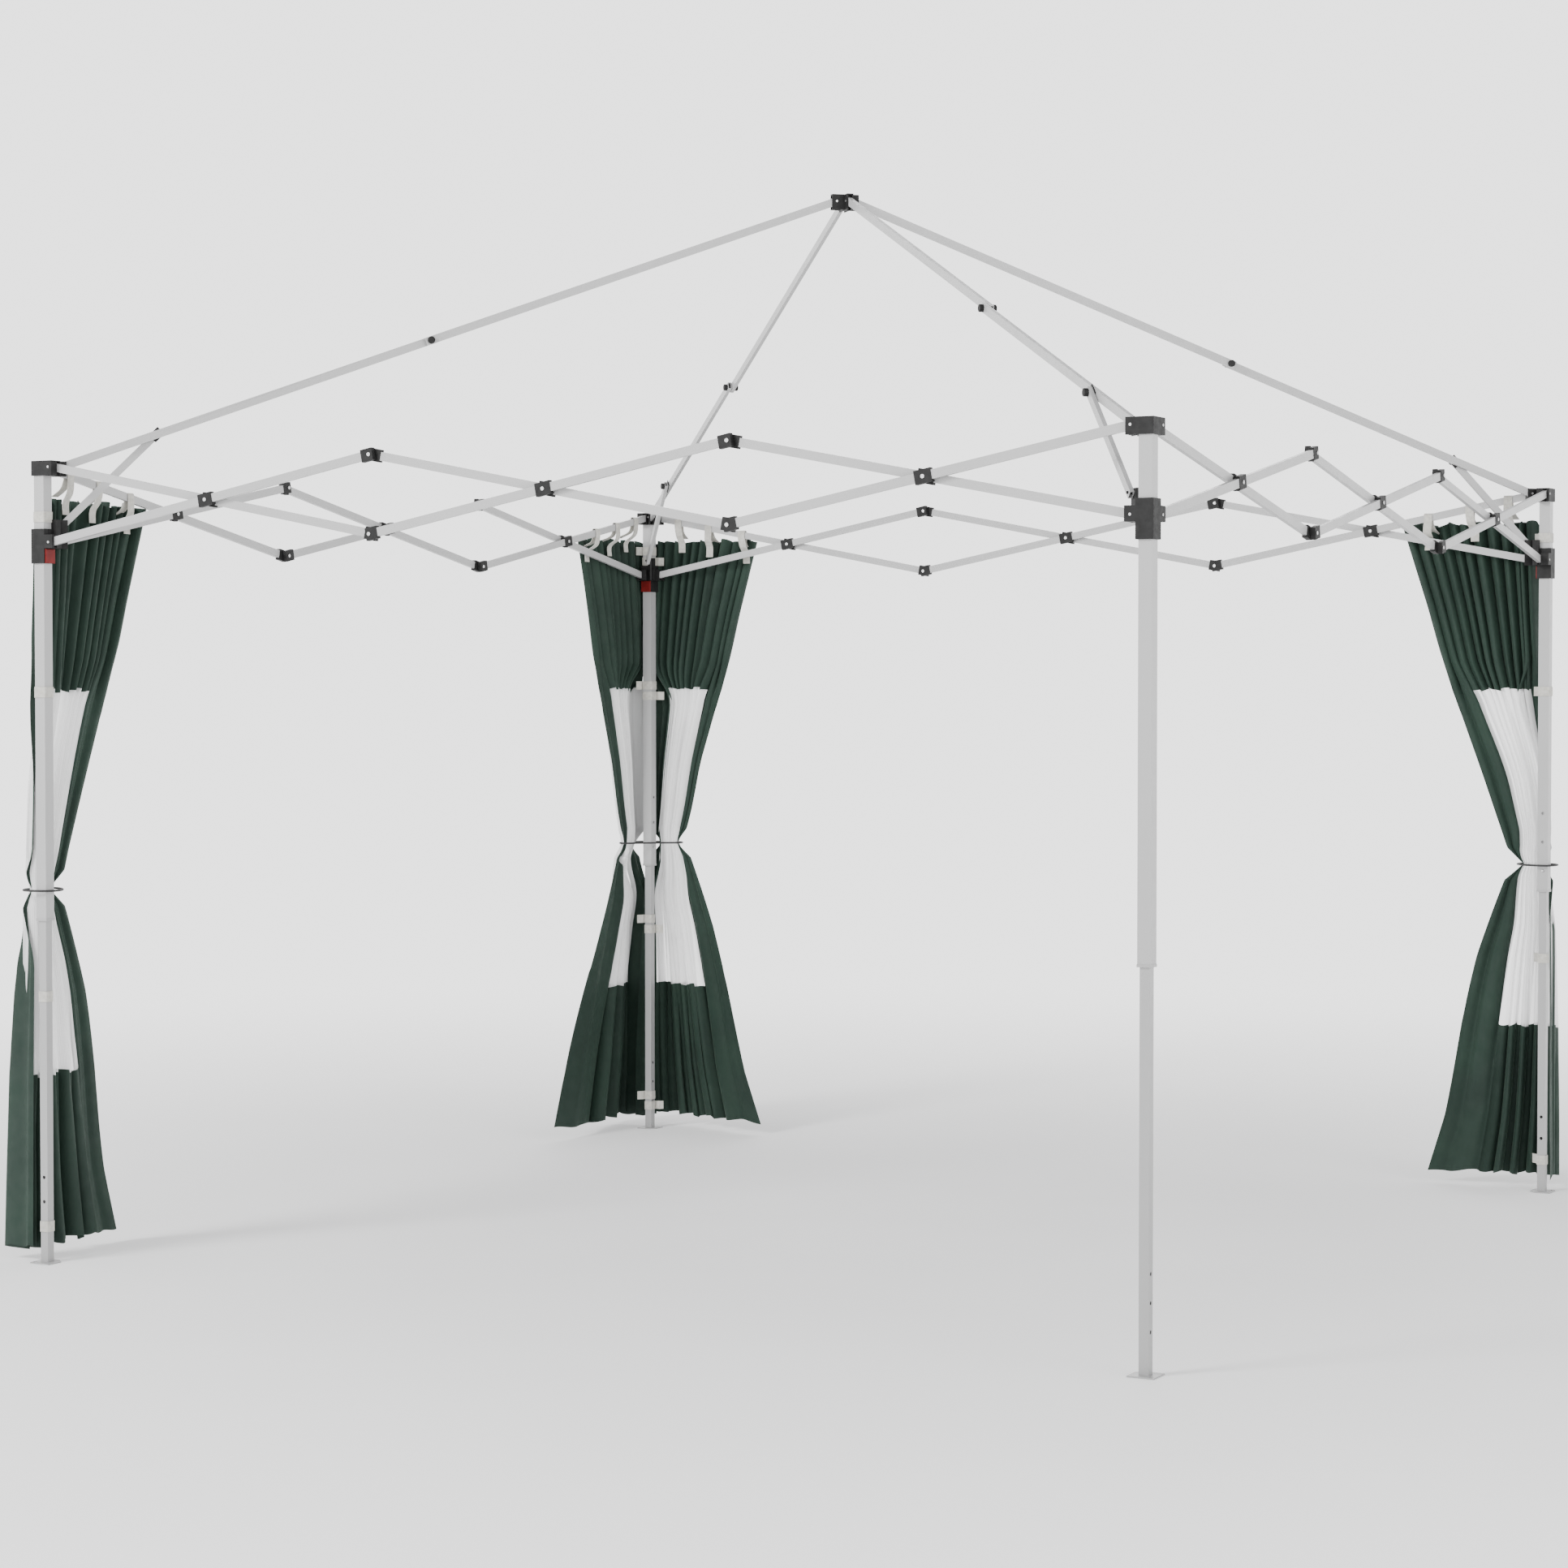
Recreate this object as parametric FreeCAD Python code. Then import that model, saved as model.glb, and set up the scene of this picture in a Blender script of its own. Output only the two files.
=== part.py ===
"""Folding pop-up canopy frame with four legs, a scissor truss, ridge poles and gathered curtains.

Millimetres, +Z up. The four legs stand on a square whose centre is LEG_SQUARE_CENTRE; the floor
is z = 0. Corner 0 is front left, and corners and sides are numbered anticlockwise from above.
"""
import FreeCAD, Part
import math
import os
from FreeCAD import Vector

CORNERS = ["front_left", "front_right", "rear_right", "rear_left"]
SIDES = ["front", "right", "rear", "left"]

# Overall plan
HALF_SPACING = 1450.0
UNITS_PER_SIDE = 3
TOP_PIVOT_Z = 1948.0
SLIDER_DROP = 182.7
PIVOT_OFFSET = 32.3
RIDGE_SLOPE = 20.1

# Legs
LEG_WIDTH = 30.0
LEG_WALL = 1.5
LEG_BOTTOM_Z = 847.0
INNER_WIDTH = 22.0
INNER_WALL = 1.2
INNER_TOP_Z = 1100.0
LEG_HOLES_Z = (900.0, 980.0, 1060.0)
INNER_HOLES_Z = (91.0, 151.0, 211.0)
SNAP_RADIUS = 4.0
FOOT_HALF = 30.0
FOOT_THICKNESS = 3.0
PEG_HOLE_RADIUS = 5.0
PEG_HOLE_OFFSET = 21.0
FOOT_CHAMFER_START = 14.0
BUSH_LIP = 1.0
BUSH_LIP_HEIGHT = 6.0
PLUG_LENGTH = 20.0
GUIDE_HEIGHT = 8.0
SNAP_CLEARANCE = 0.2
SNAP_PROUD = 4.0
SNAP_BACK_GAP = 0.1
SNAP_ROUNDING = 1.5

# Flat bars of the scissor truss and the ridge
BAR_HEIGHT = 20.0
BAR_THICKNESS = 10.0
BAR_WALL = 1.2
BAR_OVERHANG = 8.0
LAYER_OFFSET = 7.25
PIN_RADIUS = 3.0
PIN_CLEARANCE = 0.05
SLOT_GAP = 0.3
CAP_HEIGHT = 29.0
CAP_THICKNESS = 13.0
CAP_REACH = 22.0
CLIP_HEIGHT = 30.0
CLIP_LENGTH = 40.0
HEAD_RADIUS = 4.5
HEAD_THICKNESS = 1.5
HEAD_GAP = 0.1
CAP_END_WALL = 1.5

# Moulded corner brackets
BRACKET_HALF = 19.5
BRACKET_BOTTOM_Z = 1927.5
BRACKET_TOP_Z = 1963.5
BRACKET_REACH = 43.0
BRACKET_ROOF = 3.0
FORK_WALL = 3.0
FORK_START = 5.0
FORK_REACH = 12.0
PIN_PROUD = 3.0
SLIDER_HALF = 20.0
SLIDER_CENTRE_Z = 1756.0
SLIDER_HALF_HEIGHT = 42.0
SLIDER_REACH = 45.0
ARM_BOTTOM_Z = 1750.5
ARM_TOP_Z = 1783.5
ARM_INNER = 15.5
ARM_PIN_END = 14.2
SWING = 13.3
BUTTON_HALF_WIDTH = 17.0
BUTTON_TOP_Z = SLIDER_CENTRE_Z - 7.0
BUTTON_BACK = 19.8
BUTTON_FRONT = 23.6
BUTTON_POCKET = 16.6
BUTTON_ROUNDING = 1.2
POST_OVERLAP = 2.7
POST_FAR = 30.0
EAR_START = 31.0
EAR_MARGIN_R = 8.0
EAR_MARGIN_Z = 9.0
EAR_THICKNESS = 5.0

# Ridge
LOWER_PIVOT_R = 45.0
LOWER_PIVOT_Z = 1950.0
LOWER_LENGTH = 973.0
HUB_PIVOT_R = 24.0
LAP_OFFSET = 6.0
HUB_REACH = 36.0
HUB_BELOW = 22.0
HUB_ABOVE = 18.0
STRUT_HEIGHT = 18.0
STRUT_OFFSET = 18.0
STRUT_FOOT_R = 52.0
STRUT_FOOT_Z = 1812.0
STRUT_HEAD_ALONG = 247.0
KNOB_RADIUS = 9.0
KNOB_LENGTH = 10.0
KNOB_ROUNDING = 2.0
POLE_LAP = 14.0
HUB_END_OVERHANG = 7.0
HUB_WALL = 3.2
HUB_ROOF = 4.0
HUB_PIN_PROUD = 2.0
HUB_SLOT_OVERLAP = 0.8
STRUT_HEAD_OVERHANG = 9.0
SADDLE_HALF_LENGTH = 15.0
SADDLE_HALF_HEIGHT = 12.0
SADDLE_THICKNESS = 1.6

# Gathered curtains, one panel each side of the legs that carry them. Each section is a height and
# the panel's reach along the side and outward from the leg axis.
CURTAIN_CLOTH = 2.0
CURTAIN_SECTIONS = [
    (1872.0, (-18.0, 448.0), (22.0, 50.0)),
    (1405.0, (-20.0, 325.0), (22.0, 60.0)),
    (915.0, (-20.0, 70.0), (22.0, 72.0)),
    (40.0, (-60.0, 430.0), (22.0, 172.0)),
]
CURTAIN_PANELS = {"front_left": [3], "rear_left": [2, 3], "rear_right": [2]}

CURTAIN_OUT = CURTAIN_SECTIONS[-1][2][1]
SHIFT = (CURTAIN_OUT - FOOT_HALF) / 2.0
LEG_SQUARE_CENTRE = Vector(SHIFT, -SHIFT, 0)

UNIT_WIDTH = (2 * HALF_SPACING - 2 * PIVOT_OFFSET) / UNITS_PER_SIDE
BAR_LENGTH = math.hypot(UNIT_WIDTH, SLIDER_DROP)
BAR_ANGLE = math.degrees(math.atan2(SLIDER_DROP, UNIT_WIDTH))
BOTTOM_PIVOT_Z = TOP_PIVOT_Z - SLIDER_DROP
DIAGONAL = HALF_SPACING * math.sqrt(2)
RIDGE_RUN = DIAGONAL - LOWER_PIVOT_R - HUB_PIVOT_R
UPPER_LENGTH = RIDGE_RUN / math.cos(math.radians(RIDGE_SLOPE)) - LOWER_LENGTH
HUB_PIVOT_Z = LOWER_PIVOT_Z + RIDGE_RUN * math.tan(math.radians(RIDGE_SLOPE))

X_AXIS = Vector(1, 0, 0)
Y_AXIS = Vector(0, 1, 0)
Z_AXIS = Vector(0, 0, 1)
ORIGIN = Vector(0, 0, 0)


def box(x0, x1, y0, y1, z0, z1):
    return Part.makeBox(x1 - x0, y1 - y0, z1 - z0, Vector(x0, y0, z0))


def rod(radius, start, end):
    way = end - start
    return Part.makeCylinder(radius, way.Length, start, way)


def square_tube(width, wall, z0, z1):
    half = width / 2.0
    inside = half - wall
    outer = box(-half, half, -half, half, z0, z1)
    return outer.cut(box(-inside, inside, -inside, inside, z0 - 1, z1 + 1))


def flat_tube(x0, x1, height):
    """A rectangular tube along X, centred on Y and Z."""
    half_y = BAR_THICKNESS / 2.0
    half_z = height / 2.0
    outer = box(x0, x1, -half_y, half_y, -half_z, half_z)
    bore = box(
        x0 - 1, x1 + 1, BAR_WALL - half_y, half_y - BAR_WALL, BAR_WALL - half_z, half_z - BAR_WALL
    )
    return outer.cut(bore)


def sleeve(x0, x1, height, bar_x0, bar_x1):
    """A moulded sleeve round a flat bar that runs from bar_x0 to bar_x1."""
    half_y = CAP_THICKNESS / 2.0
    block = box(x0, x1, -half_y, half_y, -height / 2.0, height / 2.0)
    half_bar = BAR_THICKNESS / 2.0
    return block.cut(box(bar_x0, bar_x1, -half_bar, half_bar, -BAR_HEIGHT / 2.0, BAR_HEIGHT / 2.0))


def place_at_corner(shape, corner):
    """Move a shape from leg axis coordinates to its corner of the square."""
    moved = shape.copy()
    moved.translate(Vector(-HALF_SPACING, -HALF_SPACING, 0))
    moved.rotate(ORIGIN, Z_AXIS, 90.0 * corner)
    moved.translate(LEG_SQUARE_CENTRE)
    return moved


def export(name, solids):
    shape = solids[0] if len(solids) == 1 else Part.makeCompound(solids)
    shape.exportStep("parts/" + name + ".step")


# Scissor truss. A side runs along +X from its leg axis; outside is -Y.


def pin_with_heads(x, z):
    reach = LAYER_OFFSET + CAP_THICKNESS / 2.0 + HEAD_GAP
    end = reach + HEAD_THICKNESS
    shank = rod(PIN_RADIUS, Vector(x, -end, z), Vector(x, end, z))
    front = rod(HEAD_RADIUS, Vector(x, -end, z), Vector(x, -reach, z))
    back = rod(HEAD_RADIUS, Vector(x, reach, z), Vector(x, end, z))
    return shank.fuse(front).fuse(back).removeSplitter()


def scissor_bar(rising, unit):
    """A truss bar with its moulded sleeves; rising bars also carry the pivot pins."""
    half = BAR_LENGTH / 2.0
    end = half + BAR_OVERHANG
    pivots = (-half, 0.0, half)
    leg_end = {0: -half, UNITS_PER_SIDE - 1: half}.get(unit)
    solids = [flat_tube(-end, end, BAR_HEIGHT)]
    solids.append(sleeve(-CLIP_LENGTH / 2.0, CLIP_LENGTH / 2.0, CLIP_HEIGHT, -end, end))
    if leg_end != -half:
        solids.append(sleeve(-end - CAP_END_WALL, CAP_REACH - half, CAP_HEIGHT, -end, end))
    if leg_end != half:
        solids.append(sleeve(half - CAP_REACH, end + CAP_END_WALL, CAP_HEIGHT, -end, end))
    for x in pivots:
        loose = not rising or x == leg_end
        radius = PIN_RADIUS + (PIN_CLEARANCE if loose else 0.0)
        hole = rod(radius, Vector(x, -BAR_HEIGHT, 0), Vector(x, BAR_HEIGHT, 0))
        solids = [solid.cut(hole) for solid in solids]
    layer = -LAYER_OFFSET if rising else LAYER_OFFSET
    for solid in solids:
        solid.translate(Vector(0, layer, 0))
    if rising:
        solids += [pin_with_heads(x, 0.0) for x in pivots if x != leg_end]
    angle = -BAR_ANGLE if rising else BAR_ANGLE
    middle = Vector(
        PIVOT_OFFSET + UNIT_WIDTH * (unit + 0.5), 0, (TOP_PIVOT_Z + BOTTOM_PIVOT_Z) / 2.0
    )
    for solid in solids:
        solid.rotate(ORIGIN, Y_AXIS, angle)
        solid.translate(middle)
    return solids


# Corner parts, in leg axis coordinates: the sides leave the leg along +X and +Y.


def mirrored(corner):
    """The lap of the ridge lies the other way round on the last two corners."""
    return corner >= 2


def diagonal_point(r, t, z):
    """A point r from the leg axis towards the hub and t to the right of that way."""
    return Vector((r + t) / math.sqrt(2), (r - t) / math.sqrt(2), z)


def diagonal_box(r0, r1, t0, t1, z0, z1):
    shape = box(r0, r1, -t1, -t0, z0, z1)
    shape.rotate(ORIGIN, Z_AXIS, 45)
    return shape


def flip(shape, corner):
    """Mirror a corner part in its diagonal where the ridge lap is the other way round."""
    if not mirrored(corner):
        return shape
    return shape.mirror(ORIGIN, Vector(1, -1, 0))


def bar_slot(along_x, outer_layer, z0, z1, reach):
    """The space that one truss bar swings in, inside a bracket arm."""
    layer = -LAYER_OFFSET if outer_layer else LAYER_OFFSET
    half = BAR_THICKNESS / 2.0 + SLOT_GAP
    start = PIVOT_OFFSET - SWING
    if along_x:
        return box(start, reach + 1, layer - half, layer + half, z0, z1)
    return box(layer - half, layer + half, start, reach + 1, z0, z1)


def arm_pins(solid, z, half_width):
    """Drill both arms and return the drilled bracket with its two pins."""
    pins = []
    for along_x in (True, False):
        ends = [(PIVOT_OFFSET, -half_width, z), (PIVOT_OFFSET, ARM_PIN_END, z)]
        if not along_x:
            ends = [(y, x, height) for x, y, height in ends]
        pins.append(rod(PIN_RADIUS, Vector(*ends[0]), Vector(*ends[1])))
    for pin in pins:
        solid = solid.cut(pin)
    return [solid] + pins


def top_bracket(corner):
    low, high = BRACKET_BOTTOM_Z, BRACKET_TOP_Z
    half = BRACKET_HALF
    solid = box(-half, half, -half, half, low, high)
    solid = solid.fuse(box(0, BRACKET_REACH, -half, ARM_INNER, low, high))
    solid = solid.fuse(box(-half, ARM_INNER, 0, BRACKET_REACH, low, high))
    cheek = BAR_THICKNESS / 2.0 + SLOT_GAP + FORK_WALL
    fork_end = LOWER_PIVOT_R + FORK_REACH
    fork = diagonal_box(FORK_START, fork_end, -LAP_OFFSET - cheek, -LAP_OFFSET + cheek, low, high)
    solid = solid.fuse(flip(fork, corner))
    gap = BAR_THICKNESS / 2.0 + SLOT_GAP
    notch = diagonal_box(
        LOWER_PIVOT_R - SWING, fork_end + 1, -LAP_OFFSET - gap, -LAP_OFFSET + gap, low - 1, high + 1
    )
    solid = solid.cut(flip(notch, corner))
    roof = TOP_PIVOT_Z + SWING
    solid = solid.cut(bar_slot(True, False, low - 1, roof, BRACKET_REACH))
    solid = solid.cut(bar_slot(False, True, low - 1, roof, BRACKET_REACH))
    leg_half = LEG_WIDTH / 2.0
    solid = solid.cut(box(-leg_half, leg_half, -leg_half, leg_half, low - 1, high - BRACKET_ROOF))
    pin = rod(
        PIN_RADIUS,
        diagonal_point(LOWER_PIVOT_R, -LAP_OFFSET - cheek - PIN_PROUD, LOWER_PIVOT_Z),
        diagonal_point(LOWER_PIVOT_R, -LAP_OFFSET + cheek + PIN_PROUD, LOWER_PIVOT_Z),
    )
    pin = flip(pin, corner)
    solid = solid.removeSplitter()
    parts = arm_pins(solid.cut(pin), TOP_PIVOT_Z, half)
    return [parts[0], parts[1].cut(pin), parts[2].cut(pin), pin]


def outer_leg(corner):
    """Outer leg tube with the moulded top bracket and the bush at its lower end."""
    tube = square_tube(LEG_WIDTH, LEG_WALL, LEG_BOTTOM_Z, BRACKET_TOP_Z - BRACKET_ROOF)
    half = LEG_WIDTH / 2.0
    for z in LEG_HOLES_Z:
        tube = tube.cut(rod(SNAP_RADIUS + SNAP_CLEARANCE, Vector(0, 0, z), Vector(0, LEG_WIDTH, z)))
    bore = INNER_WIDTH / 2.0 + SLOT_GAP
    lip = half + BUSH_LIP
    bush_low = LEG_BOTTOM_Z - BUSH_LIP_HEIGHT
    bush_high = LEG_BOTTOM_Z + PLUG_LENGTH
    bush = box(-lip, lip, -lip, lip, bush_low, LEG_BOTTOM_Z)
    plug = half - LEG_WALL
    bush = bush.fuse(box(-plug, plug, -plug, plug, LEG_BOTTOM_Z, bush_high))
    bush = bush.cut(box(-bore, bore, -bore, bore, bush_low - 1, bush_high + 1))
    return [tube, bush.removeSplitter()] + top_bracket(corner)


def slider(corner):
    """Sliding bracket with two forked arms, a strut ear and a pocket for its button."""
    half = SLIDER_HALF
    low = SLIDER_CENTRE_Z - SLIDER_HALF_HEIGHT
    high = SLIDER_CENTRE_Z + SLIDER_HALF_HEIGHT
    solid = box(-half, half, -half, half, low, high)
    solid = solid.fuse(box(0, SLIDER_REACH, -half, ARM_INNER, ARM_BOTTOM_Z, ARM_TOP_Z))
    solid = solid.fuse(box(-half, ARM_INNER, 0, SLIDER_REACH, ARM_BOTTOM_Z, ARM_TOP_Z))
    post_low = ARM_INNER - POST_OVERLAP
    ear_top = STRUT_FOOT_Z + EAR_MARGIN_Z
    solid = solid.fuse(box(post_low, POST_FAR, post_low, POST_FAR, ARM_BOTTOM_Z, ear_top))
    ear_far = BAR_THICKNESS / 2.0 + SLOT_GAP - STRUT_OFFSET
    ear_end = STRUT_FOOT_R + EAR_MARGIN_R
    ear = diagonal_box(EAR_START, ear_end, ear_far, ear_far + EAR_THICKNESS, ARM_BOTTOM_Z, ear_top)
    solid = solid.fuse(flip(ear, corner))
    floor = BOTTOM_PIVOT_Z - SWING
    solid = solid.cut(bar_slot(True, True, floor, ear_top + 1, SLIDER_REACH))
    solid = solid.cut(bar_slot(False, False, floor, ear_top + 1, SLIDER_REACH))
    bore = LEG_WIDTH / 2.0 + SLOT_GAP
    solid = solid.cut(box(-bore, bore, -bore, bore, low - 1, ear_top + 1))
    width = BUTTON_HALF_WIDTH + SLOT_GAP
    pocket = box(BUTTON_POCKET, half + 1, -width, width, low - 1, BUTTON_TOP_Z + SLOT_GAP)
    solid = solid.cut(pocket)
    pin = rod(
        PIN_RADIUS,
        diagonal_point(STRUT_FOOT_R, -STRUT_OFFSET - BAR_THICKNESS / 2.0 - PIN_PROUD, STRUT_FOOT_Z),
        diagonal_point(STRUT_FOOT_R, ear_far + EAR_THICKNESS, STRUT_FOOT_Z),
    )
    pin = flip(pin, corner)
    return arm_pins(solid.removeSplitter().cut(pin), BOTTOM_PIVOT_Z, half) + [pin]


def release_button():
    low = SLIDER_CENTRE_Z - SLIDER_HALF_HEIGHT
    width = BUTTON_HALF_WIDTH
    solid = box(BUTTON_BACK, BUTTON_FRONT, -width, width, low, BUTTON_TOP_Z)
    front = [edge for edge in solid.Edges if edge.BoundBox.XMin > BUTTON_FRONT - 0.01]
    return solid.makeFillet(BUTTON_ROUNDING, front)


def inner_leg():
    """Telescopic lower leg with its guide plug and welded foot plate."""
    half = INNER_WIDTH / 2.0
    tube = square_tube(INNER_WIDTH, INNER_WALL, FOOT_THICKNESS, INNER_TOP_Z)
    for z in INNER_HOLES_Z:
        hole = rod(SNAP_RADIUS + SLOT_GAP, Vector(0, -INNER_WIDTH, z), Vector(0, INNER_WIDTH, z))
        tube = tube.cut(hole)
    snap_z = LEG_HOLES_Z[0]
    hole = rod(SNAP_RADIUS + SLOT_GAP, Vector(0, 0, snap_z), Vector(0, INNER_WIDTH, snap_z))
    tube = tube.cut(hole)
    guide = LEG_WIDTH / 2.0 - LEG_WALL - SLOT_GAP
    plug = box(-guide, guide, -guide, guide, INNER_TOP_Z, INNER_TOP_Z + GUIDE_HEIGHT)
    core = half - INNER_WALL
    plug = plug.fuse(box(-core, core, -core, core, INNER_TOP_Z - PLUG_LENGTH, INNER_TOP_Z))
    far, cut = FOOT_HALF, FOOT_CHAMFER_START
    outline = [(-far, -far), (far, -far), (far, cut), (cut, far), (-far, far), (-far, -far)]
    face = Part.Face(Part.makePolygon([Vector(x, y, 0) for x, y in outline]))
    plate = face.extrude(Vector(0, 0, FOOT_THICKNESS))
    peg = -PEG_HOLE_OFFSET
    plate = plate.cut(rod(PEG_HOLE_RADIUS, Vector(peg, peg, -1), Vector(peg, peg, FOOT_THICKNESS + 1)))
    return [tube, plug.removeSplitter(), plate]


def snap_button():
    z = LEG_HOLES_Z[0]
    inner = LEG_WIDTH / 2.0 - LEG_WALL + SNAP_BACK_GAP
    outer = LEG_WIDTH / 2.0 + SNAP_PROUD
    solid = rod(SNAP_RADIUS, Vector(0, inner, z), Vector(0, outer, z))
    rim = [edge for edge in solid.Edges if edge.BoundBox.YMin > outer - 0.01]
    return solid.makeFillet(SNAP_ROUNDING, rim)


# Ridge. Poles are built along +X from their outer pivot and then tilted and turned.


def ridge_member(solids, r, t, z, slope, corner):
    placed = []
    for solid in solids:
        moved = solid.copy()
        moved.rotate(ORIGIN, Y_AXIS, -slope)
        moved.rotate(ORIGIN, Z_AXIS, 45)
        moved.translate(diagonal_point(r, t, z))
        placed.append(flip(moved, corner))
    return placed


def knob(x, side):
    """A round clamping knob on a flat bar; side -1 is to the left looking at the hub."""
    near = side * BAR_THICKNESS / 2.0
    far = side * (BAR_THICKNESS / 2.0 + KNOB_LENGTH)
    solid = rod(KNOB_RADIUS, Vector(x, -near, 0), Vector(x, -far, 0))
    rim = [edge for edge in solid.Edges if abs(edge.BoundBox.Center.y + far) < 0.01]
    return solid.makeFillet(KNOB_ROUNDING, rim)


def drilled(solid, x):
    return solid.cut(rod(PIN_RADIUS + PIN_CLEARANCE, Vector(x, -BAR_HEIGHT, 0), Vector(x, BAR_HEIGHT, 0)))


def ridge_lower(corner):
    pole = flat_tube(-BAR_OVERHANG, LOWER_LENGTH + POLE_LAP, BAR_HEIGHT)
    pole = drilled(pole, 0)
    parts = [pole, knob(LOWER_LENGTH, -1)]
    return ridge_member(parts, LOWER_PIVOT_R, -LAP_OFFSET, LOWER_PIVOT_Z, RIDGE_SLOPE, corner)


def ridge_upper(corner):
    pole = flat_tube(-POLE_LAP, UPPER_LENGTH + HUB_END_OVERHANG, BAR_HEIGHT)
    pole = drilled(pole, UPPER_LENGTH)
    parts = [pole, knob(0, 1)]
    run = LOWER_LENGTH * math.cos(math.radians(RIDGE_SLOPE))
    rise = LOWER_LENGTH * math.sin(math.radians(RIDGE_SLOPE))
    return ridge_member(
        parts, LOWER_PIVOT_R + run, LAP_OFFSET, LOWER_PIVOT_Z + rise, RIDGE_SLOPE, corner
    )


def ridge_strut(corner):
    head_r = LOWER_PIVOT_R + STRUT_HEAD_ALONG * math.cos(math.radians(RIDGE_SLOPE))
    head_z = LOWER_PIVOT_Z + STRUT_HEAD_ALONG * math.sin(math.radians(RIDGE_SLOPE))
    length = math.hypot(head_r - STRUT_FOOT_R, head_z - STRUT_FOOT_Z)
    slope = math.degrees(math.atan2(head_z - STRUT_FOOT_Z, head_r - STRUT_FOOT_R))
    bar = drilled(flat_tube(-BAR_OVERHANG, length + STRUT_HEAD_OVERHANG, STRUT_HEIGHT), 0)
    near = BAR_THICKNESS / 2.0
    saddle = box(
        length - SADDLE_HALF_LENGTH, length + SADDLE_HALF_LENGTH, -near - SADDLE_THICKNESS, -near,
        -SADDLE_HALF_HEIGHT, SADDLE_HALF_HEIGHT,
    )
    parts = [bar, saddle, knob(length, -1)]
    return ridge_member(parts, STRUT_FOOT_R, -STRUT_OFFSET, STRUT_FOOT_Z, slope, corner)


def hub_arm_frame(shape, corner):
    """Turn a hub shape built for an outward +X arm to its corner, on its side of the lap."""
    side = -LAP_OFFSET if not mirrored(corner) else LAP_OFFSET
    moved = shape.copy()
    moved.translate(Vector(0, -side, 0))
    moved.rotate(ORIGIN, Z_AXIS, 225.0 + 90.0 * corner)
    return moved


def hub():
    low = HUB_PIVOT_Z - HUB_BELOW
    high = HUB_PIVOT_Z + HUB_ABOVE
    gap = BAR_THICKNESS / 2.0 + SLOT_GAP
    cheek = gap + HUB_WALL
    core = HUB_PIVOT_R - SWING + HUB_SLOT_OVERLAP
    solid = box(-core, core, -core, core, low, high)
    solid.rotate(ORIGIN, Z_AXIS, 45)
    slots, pins = [], []
    for corner in range(4):
        arm = hub_arm_frame(box(0, HUB_REACH, -cheek, cheek, low, high), corner)
        solid = solid.fuse(arm)
        slot = box(core, HUB_REACH + 1, -gap, gap, low - 1, high - HUB_ROOF)
        slots.append(hub_arm_frame(slot, corner))
        end = cheek + HUB_PIN_PROUD
        pin = rod(PIN_RADIUS, Vector(HUB_PIVOT_R, -end, HUB_PIVOT_Z), Vector(HUB_PIVOT_R, end, HUB_PIVOT_Z))
        pins.append(hub_arm_frame(pin, corner))
    for cutter in slots + pins:
        solid = solid.cut(cutter)
    solids = [solid.removeSplitter()] + pins
    for item in solids:
        item.translate(LEG_SQUARE_CENTRE)
    return solids


# Curtains


def curtain_section(z, along, outward, inset):
    """A rectangle at height z, drawn in by the thickness of the cloth if inset is set."""
    s0, s1 = along[0] + inset, along[1] - inset
    w0, w1 = -outward[0] - inset, -outward[1] + inset
    corners = [(s0, w0), (s1, w0), (s1, w1), (s0, w1), (s0, w0)]
    return Part.makePolygon([Vector(s, w, z) for s, w in corners])


def curtain_loft(inset):
    """The bag shape that the gathers fill, in three ruled spans drawn in at the neck."""
    spans = zip(CURTAIN_SECTIONS, CURTAIN_SECTIONS[1:])
    return [
        Part.makeLoft([curtain_section(*upper, inset), curtain_section(*lower, inset)], True, True)
        for upper, lower in spans
    ]


def curtain_panel(corner, side):
    """A gathered panel outside the truss, drawn to its leg at the neck, in leg axis coordinates."""
    spans = [outer.cut(inner) for outer, inner in zip(curtain_loft(0.0), curtain_loft(CURTAIN_CLOTH))]
    skin = spans[0].fuse(spans[1:])
    if side != corner:
        skin = skin.mirror(ORIGIN, Vector(1, -1, 0))
    return skin


def curtains(corner, sides):
    panels = [curtain_panel(corner, side) for side in sides]
    joined = panels[0] if len(panels) == 1 else panels[0].fuse(panels[1])
    return [place_at_corner(solid, corner) for solid in joined.removeSplitter().Solids]


def main():
    os.makedirs("parts", exist_ok=True)
    for side, side_name in enumerate(SIDES):
        for unit in range(UNITS_PER_SIDE):
            for rising, kind in ((True, "rising"), (False, "falling")):
                solids = [place_at_corner(s, side) for s in scissor_bar(rising, unit)]
                export("%s_%s_bar_%d" % (side_name, kind, unit + 1), solids)
    for corner, name in enumerate(CORNERS):
        groups = {
            "outer_leg": outer_leg(corner),
            "slider": slider(corner),
            "release_button": [release_button()],
            "inner_leg": inner_leg(),
            "snap_button": [snap_button()],
            "ridge_lower": ridge_lower(corner),
            "ridge_upper": ridge_upper(corner),
            "ridge_strut": ridge_strut(corner),
        }
        for kind, solids in groups.items():
            export("%s_%s" % (kind, name), [place_at_corner(s, corner) for s in solids])
    export("hub", hub())
    for name, sides in CURTAIN_PANELS.items():
        corner = CORNERS.index(name)
        export("curtains_" + name, curtains(corner, sides))


main()
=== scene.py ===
"""Looks of the folding canopy: materials, gathered curtains, webbing, ties and studio."""
import math

import bpy
import numpy as np
from mathutils import Matrix, Vector


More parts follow.
